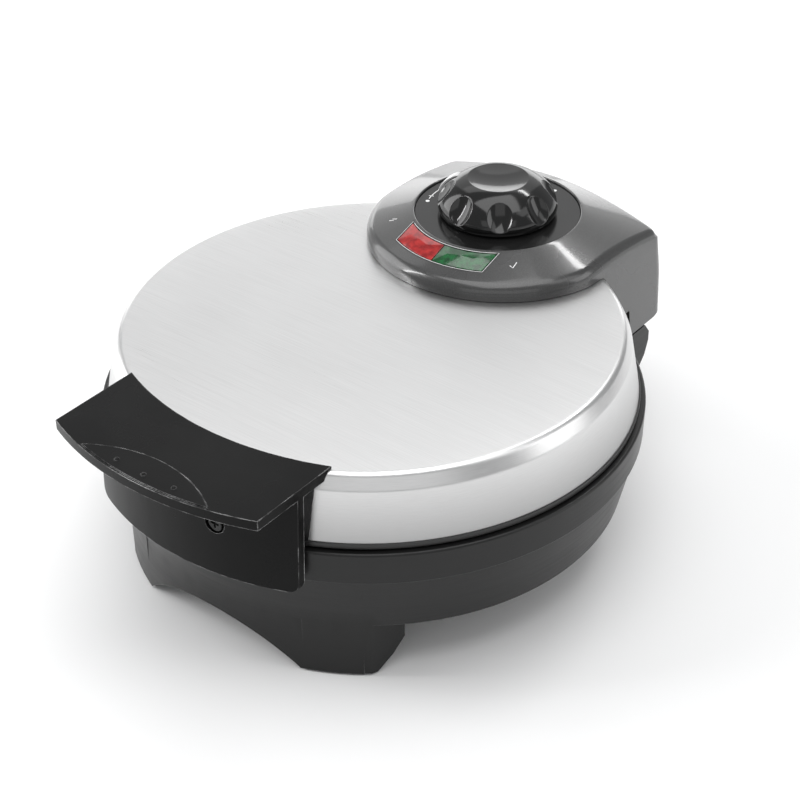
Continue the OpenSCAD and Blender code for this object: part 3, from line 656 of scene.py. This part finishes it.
def scale_marks():
    """The temperature scale: a fine arc with a dot at each end. Gives the directions of its two ends."""
    low, high = (math.radians(v) for v in JOINTS["knob_turn"]["range_deg"])
    cool, hot = POINTER_AZ - low, POINTER_AZ - high
    gap = math.radians(4)
    flat_strip("scale_arc", ring_line(SCALE_R, cool - gap, hot + gap, 96), 0.5 * MM, on_dial)
    for name, azimuth in (("scale_dot_cool", cool), ("scale_dot_hot", hot)):
        centre = about_dial(SCALE_R, azimuth, 0).to_2d()
        turns = [math.tau * k / 24 for k in range(24)]
        dot = [centre + Vector((math.cos(a), math.sin(a))) * 0.5 * MM for a in turns]
        flat_strip(name, dot, 0.96 * MM, on_dial, closed=True)
    return cool, hot


def glyph(name, strokes, r, azimuth, size, height):
    """A small printed mark: strokes drawn on a unit square, upright when read from outside the dial."""
    centre = about_dial(r, azimuth, 0).to_2d()
    out = Vector((math.sin(azimuth), -math.cos(azimuth)))
    across = Vector((-out.y, out.x))
    for i, stroke in enumerate(strokes):
        line = [centre + across * (x - 0.5) * size - out * (y - 0.5) * size for x, y in stroke]
        flat_strip(f"{name}_{i}", line, 0.42 * MM, height)


def printed_marks(cool, hot):
    """A bolt beside the red lens, a tick beside the green one, and 1 and 5 at the scale's ends."""
    bolt = [[(0.62, 1), (0.25, 0.45), (0.7, 0.55), (0.36, 0)]]
    tick = [[(0.0, 0.5), (0.35, 0.1), (1.0, 0.95)]]
    one = [[(0.3, 0.75), (0.55, 1), (0.55, 0)]]
    five = [[(0.85, 1), (0.3, 1), (0.25, 0.55), (0.7, 0.6), (0.85, 0.3), (0.65, 0.02), (0.2, 0.06)]]
    past_end = math.radians(9)
    glyph("mark_power", bolt, 49 * MM, math.radians(-47), 3.6 * MM, on_deck)
    glyph("mark_ready", tick, 48 * MM, math.radians(44), 3.4 * MM, on_deck)
    glyph("number_one", one, SCALE_R, cool - past_end, 2.4 * MM, on_dial)
    glyph("number_five", five, SCALE_R, hot + past_end, 2.4 * MM, on_dial)


def window_outline(gap):
    """The lens window's outline in plan, grown outwards by gap."""
    steps, points = 24, []
    inner, outer = WINDOW_R - gap, WINDOW_R + WINDOW_LEN + gap
    half = WINDOW_HALF + gap
    for r, direction in ((inner, 1), (outer, -1)):
        reach = direction * math.asin(half / r)
        points += ring_line(r, -reach, reach, steps)
    return points


def lens_piece(side, name, node, peak):
    """One lens: a flat-sided block whose top is cut into facets that rise to a peak.

    peak is how far the highest point stands from the middle, in mm along the window and across it."""
    columns, rows, depth = 4, 2, 2.4 * MM
    bm = bmesh.new()
    tops, floors = [], []
    for j in range(rows + 1):
        top_row, floor_row = [], []
        for i in range(columns + 1):
            inside = 0 < i < columns and 0 < j < rows
            x = side * (0.25 * MM + (WINDOW_HALF - 0.25 * MM - LENS_GAP) * i / columns)
            r = WINDOW_R + LENS_GAP + (WINDOW_LEN - 2 * LENS_GAP) * j / rows
            lift = 0.0
            if inside:
                x += side * peak[0] * MM
                r += peak[1] * MM
                lift = (1.5 if i == columns / 2 else 0.7) * MM
            y = DIAL.y - math.sqrt(r * r - x * x)
            top_row.append(bm.verts.new((x, y, deck_height(r) + lift)))
            floor_row.append(bm.verts.new((x, y, deck_height(r) - depth)))
        tops.append(top_row)
        floors.append(floor_row)
    for j in range(rows):
        for i in range(columns):
            a, b, c, d = tops[j][i], tops[j][i + 1], tops[j + 1][i + 1], tops[j + 1][i]
            if (i < columns / 2) == (j == 0):
                bm.faces.new((a, b, c))
                bm.faces.new((a, c, d))
            else:
                bm.faces.new((a, b, d))
                bm.faces.new((b, c, d))
            bm.faces.new((floors[j][i], floors[j + 1][i], floors[j + 1][i + 1], floors[j][i + 1]))
    for i in range(columns):
        for j in (0, rows):
            bm.faces.new((tops[j][i], tops[j][i + 1], floors[j][i + 1], floors[j][i]))
    for j in range(rows):
        for i in (0, columns):
            bm.faces.new((tops[j][i], tops[j + 1][i], floors[j + 1][i], floors[j][i]))
    piece = piece_from(bm, name, "lid", SLOT_OF[node], sharp=6)
    add_bevel(piece, 0.12 * MM, 8)
    applied(piece).shade_smooth()
    piece.data.set_sharp_from_angle(angle=math.radians(14))
    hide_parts(node)


def lens_frame():
    """A thin white line round the window, inside a dark one."""
    flat_strip("window_outline", window_outline(0.3 * MM), 0.2 * MM, on_deck, closed=True)
    flat_strip("window_shadow_line", window_outline(0.65 * MM), 0.5 * MM, on_deck,
               "trim_black", MATERIALS["trim_black"], closed=True)


# ---- Housing ----
def soft_min(a, b, k):
    """min(a, b) with the corner rounded over k."""
    return -soft_max(-a, -b, k)


def wall_reach(azimuth, z):
    """Distance from the dial's axis to the housing's wall, in a direction, at height z."""
    s, c = math.sin(azimuth), -math.cos(azimuth)
    side = (HINGE_HALF - 0.05 * (z - HINGE.z)) / max(abs(s), 1e-6)
    if c < 0:
        ahead = 0.5 * MM
        return soft_min(side, ahead * c + math.sqrt(HOUSING_R ** 2 - (ahead * s) ** 2), 1 * MM)
    lean = BACK_LEAN * min(1.0, max(0.0, (z - LIP_Z) / (DECK_Z - LIP_Z)))
    reach = BACK_ARC - lean
    behind = DIAL.y - (BACK_Y - BACK_ARC)
    back = -behind * c + math.sqrt(reach ** 2 - (behind * s) ** 2)
    return soft_min(side, back, 3 * MM)


def lid_height(r, line):
    """Height of the lid's outside at distance r from its axis."""
    for low, high in zip(line, line[1:]):
        if high.x <= r <= low.x:
            return low.y + (high.y - low.y) * (low.x - r) / max(low.x - high.x, 1e-9)
    return STEEL_Z


def wall_bottom(place, line):
    """Height of the housing wall's lower edge: on the lid, then down round the hinge's knuckle."""
    if place.y > EAR_START:
        if abs(place.x) < EAR_X:
            return LIP_Z
        past = max(0.0, place.y - HINGE.y)
        return HINGE.z - math.sqrt(max(0.0, KNUCKLE_R ** 2 - past ** 2))
    return max(STEEL_Z + 0.5 * MM, lid_height(place.to_2d().length, line) + 0.2 * MM)


def window_turn(azimuth, r):
    """The direction a housing point is moved to, so that two columns run along the window's straight ends."""
    limit = math.radians(60)
    here = math.asin(WINDOW_HALF / min(max(r, WINDOW_R), WINDOW_R + WINDOW_LEN))
    turn = (azimuth + math.pi) % math.tau - math.pi
    size = abs(turn)
    if size >= limit:
        return turn
    if size <= WINDOW_END:
        return turn * here / WINDOW_END
    return math.copysign(here + (size - WINDOW_END) * (limit - here) / (limit - WINDOW_END), turn)


def housing_azimuths():
    """Directions round the dial's axis, with pairs of close ones where the wall's lower edge has a step."""
    turns = [math.tau * k / 360 for k in range(360)] + [WINDOW_END, math.tau - WINDOW_END]
    ear_front, ear_side = EAR_START - DIAL.y, BACK_Y - 4 * MM - DIAL.y
    for nudge in (-0.05 * MM, 0.05 * MM):
        for turn in (math.atan2(HINGE_HALF, -(ear_front + nudge)), math.atan2(EAR_X + nudge, -ear_side)):
            turns += [turn, math.tau - turn]
    return sorted(turns)


def housing_column(azimuth, line):
    """The housing's outside in one direction: up the wall, over the rim, and in to the dial's recess."""
    window_out, edge_r, lip = WINDOW_R + WINDOW_LEN, DIAL_R + 0.8 * MM, 0.6 * MM
    turn = window_turn(azimuth, window_out)
    rim_r = wall_reach(turn, deck_height(HOUSING_R))
    rim_z = deck_height(rim_r) - RIM_FILLET
    low_z = wall_bottom(about_dial(rim_r, turn, 0), line)
    column = []
    for k in range(9):
        z = low_z + (rim_z - low_z) * k / 8
        column.append(about_dial(wall_reach(turn, z), turn, z))
    for k in range(1, 9):
        lean = math.pi / 2 * k / 8
        r = rim_r - RIM_FILLET * (1 - math.cos(lean))
        column.append(about_dial(r, turn, deck_height(r) - RIM_FILLET * (1 - math.sin(lean))))
    start = rim_r - RIM_FILLET
    outer = min(window_out, start - 1 * MM)
    stations = [start + (outer - start) * k / 3 for k in (1, 2, 3)]
    window_start = len(column) + 2
    stations += [outer + (WINDOW_R - outer) * k / 4 for k in (1, 2, 3, 4)] + [edge_r]
    column += [about_dial(r, window_turn(azimuth, r), deck_height(r)) for r in stations]
    for k in range(1, 5):
        lean = math.pi / 2 * k / 4
        z = DECK_Z - lip * (1 - math.cos(lean))
        column.append(about_dial(edge_r - lip * math.sin(lean), azimuth, z))
    column.append(about_dial(DIAL_R + 0.2 * MM, azimuth, DECK_Z - 3 * MM))
    return column, range(window_start, window_start + 4)


def housing():
    """The control housing: sloping deck with the lens window, rounded rim, drafted walls and pin blocks."""
    line = lid_outside()
    bm = bmesh.new()
    turns = housing_azimuths()
    columns = []
    for azimuth in turns:
        column, window = housing_column(azimuth, line)
        columns.append([bm.verts.new(p) for p in column])
    for i, left in enumerate(columns):
        right = columns[(i + 1) % len(columns)]
        ends = [(t + math.pi) % math.tau - math.pi for t in (turns[i], turns[(i + 1) % len(turns)])]
        in_window = all(abs(t) <= WINDOW_END + 1e-6 for t in ends)
        for k in range(len(left) - 1):
            if not (in_window and k in window):
                bm.faces.new((left[k], right[k], right[k + 1], left[k + 1]))
    piece = piece_from(bm, "control_housing_fine", "lid", "housing_plastic", sharp=40)
    solid = piece.modifiers.new("wall", "SOLIDIFY")
    solid.thickness = HOUSING_T
    solid.offset = -1
    applied(piece)
    piece.data.shade_smooth()
    piece.data.set_sharp_from_angle(angle=math.radians(40))
    smoothed(piece)
    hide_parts("control_housing")
    for side in (-1, 1):
        pin_block(side)


def pin_block(side):
    """The thick end of the housing's side wall, with the knuckle round the hinge pin."""
    back = BACK_Y - BACK_ARC + math.sqrt(BACK_ARC ** 2 - HINGE_HALF ** 2) - 1 * MM - HINGE.y
    front, top = EAR_START - HINGE.y, LIP_Z - HINGE.z
    turns = [math.pi / 2 * k / 12 for k in range(12)]
    outline = [(front, -KNUCKLE_R)] + [(KNUCKLE_R * math.sin(t), -KNUCKLE_R * math.cos(t)) for t in turns]
    outline += [(back, 0.0), (back, top), (front, top)]
    outline = [(min(y, back), z) for y, z in outline]
    bm = bmesh.new()
    faces = []
    for x in (EAR_X, HINGE_HALF - HOUSING_T + 0.3 * MM):
        faces.append([bm.verts.new((side * x, HINGE.y + y, HINGE.z + z)) for y, z in outline])
    bm.faces.new(faces[0])
    bm.faces.new(faces[1][::-1])
    for i in range(len(outline)):
        bm.faces.new((faces[0][i - 1], faces[0][i], faces[1][i], faces[1][i - 1]))
    piece = piece_from(bm, "pin_block_left" if side < 0 else "pin_block_right", "lid", "housing_plastic")
    add_bevel(piece, 0.4 * MM, 40)
    applied(piece)


# ---- Stage ----
def floor():
    mesh = bpy.data.meshes.new("floor")
    bm = bmesh.new()
    bmesh.ops.create_grid(bm, x_segments=8, y_segments=8, size=6)
    bm.to_mesh(mesh)
    bm.free()
    stage = bpy.data.objects.new("floor", mesh)
    stage.location.z = -0.05 * MM
    bpy.context.scene.collection.objects.link(stage)
    paint = Paint("pale_floor")
    paint.feed("Base Color", paint.blend(paint.noise(3, 2, 0.5), grey(0.86), grey(0.9)))
    paint.set(Roughness=0.7)
    mesh.materials.append(paint.material)


def soft_light(name, place, size, power):
    """A rectangular soft light at place, facing the object."""
    data = bpy.data.lights.new(name, "AREA")
    data.shape = "RECTANGLE"
    data.size, data.size_y = size
    data.energy = power
    light = bpy.data.objects.new(name, data)
    light.location = place
    light.rotation_euler = (Vector((0, 0, 0.08)) - Vector(place)).to_track_quat("-Z", "Y").to_euler()
    light.visible_camera = False
    bpy.context.scene.collection.objects.link(light)


def studio():
    """Soft panels all round: dim ones that the lid mirrors, and brighter ones for edges and slopes."""
    world = bpy.data.worlds.new("studio")
    bpy.context.scene.world = world
    world.use_nodes = True
    backdrop = world.node_tree.nodes["Background"]
    backdrop.inputs["Color"].default_value = (0.93, 0.94, 0.95, 1)
    backdrop.inputs["Strength"].default_value = 0.4
    soft_light("far_panel", (-0.9, 1.3, 1.3), (2.2, 1.4), 4.6)
    soft_light("far_high_panel", (-0.95, 0.95, 1.6), (1.4, 0.5), 1.3)
    soft_light("far_strip", (0.05, 1.05, 1.3), (0.5, 0.07), 2.4)
    soft_light("right_high_panel", (1.15, 0.35, 1.25), (0.7, 0.5), 1.2)
    soft_light("far_low_panel", (-1.15, 1.55, 0.36), (2.6, 0.6), 11)
    soft_light("right_panel", (1.75, 0.9, 0.7), (1.0, 1.1), 6.5)
    soft_light("left_panel", (-1.5, -0.5, 0.7), (1.2, 1.4), 15)
    soft_light("left_strip", (-1.1, -0.95, 1.0), (0.12, 1.1), 8)
    soft_light("top_panel", (0.2, -0.1, 1.8), (1.6, 1.6), 18)
    soft_light("camera_panel", (1.15, -1.42, 0.8), (2.4, 1.0), 4)
    bpy.context.scene.view_settings.view_transform = "Standard"


def sideways(look):
    """The right and up directions of a level view along look."""
    right = look.cross(Vector((0, 0, 1))).normalized()
    return right, right.cross(look)


def camera():
    """The camera: turned round the object, then aimed a little off it and rolled."""
    azimuth, elevation, distance = math.radians(39.3), math.radians(33.64), 802.9 * MM
    aim_right, aim_up, roll = math.radians(0.82), math.radians(-1.05), math.radians(-0.70)
    middle = Vector((0, 0, 79 * MM))
    level = math.cos(elevation)
    back = Vector((math.sin(azimuth) * level, -math.cos(azimuth) * level, math.sin(elevation)))
    right, up = sideways(-back)
    look = (right * math.tan(aim_right) + up * math.tan(aim_up) - back).normalized()
    right, up = sideways(look)
    rolled_right = right * math.cos(roll) + up * math.sin(roll)
    rolled_up = up * math.cos(roll) - right * math.sin(roll)
    data = bpy.data.cameras.new("camera")
    data.lens = 81
    data.sensor_width = 36
    data.clip_start, data.clip_end = 0.01, 50
    view = bpy.data.objects.new("camera", data)
    turn = Matrix((rolled_right, rolled_up, -look)).transposed().to_4x4()
    view.matrix_world = Matrix.Translation(middle + back * distance) @ turn
    bpy.context.scene.collection.objects.link(view)
    bpy.context.scene.camera = view


def paint_frame():
    """Every CAD node that still shows gets its slot's material."""
    for node, shown in frame["nodes"].items():
        material = MATERIALS[SLOT_OF[node]]
        if not shown.material_slots:
            shown.data.materials.append(material)
        for place in shown.material_slots:
            place.material = material


camera()
studio()
floor()
lid_shell()
knob()
printed_marks(*scale_marks())
lens_piece(-1, "lens_red_cut", "red_lens", (1.4, -0.8))
lens_piece(1, "lens_green_cut", "green_lens", (-1.2, -0.6))
lens_frame()
housing()
refined("handle", 0.6 * MM)
refined("thumb_pad", 0.25 * MM)
refined("base_ring", 0.5 * MM)
refined("base_body", 0.8 * MM, flat=0.1)
refined("lid_bezel", 0.3 * MM)
refined("lower_plate", 0.8 * MM)
refined("upper_plate", 0.8 * MM)
refined("dial_plate", 0.3 * MM)
refined("knob_pointer", 0.25 * MM)
refined("wire_guard", 0.4 * MM)
refined("cord_inlet", 0.5 * MM)
refined("bottom_cover", 0.5 * MM)
for small in ("bottom_screws", "handle_screws", "hinge_pins", "foot_pads"):
    refined(small, 0.25 * MM)
paint_frame()
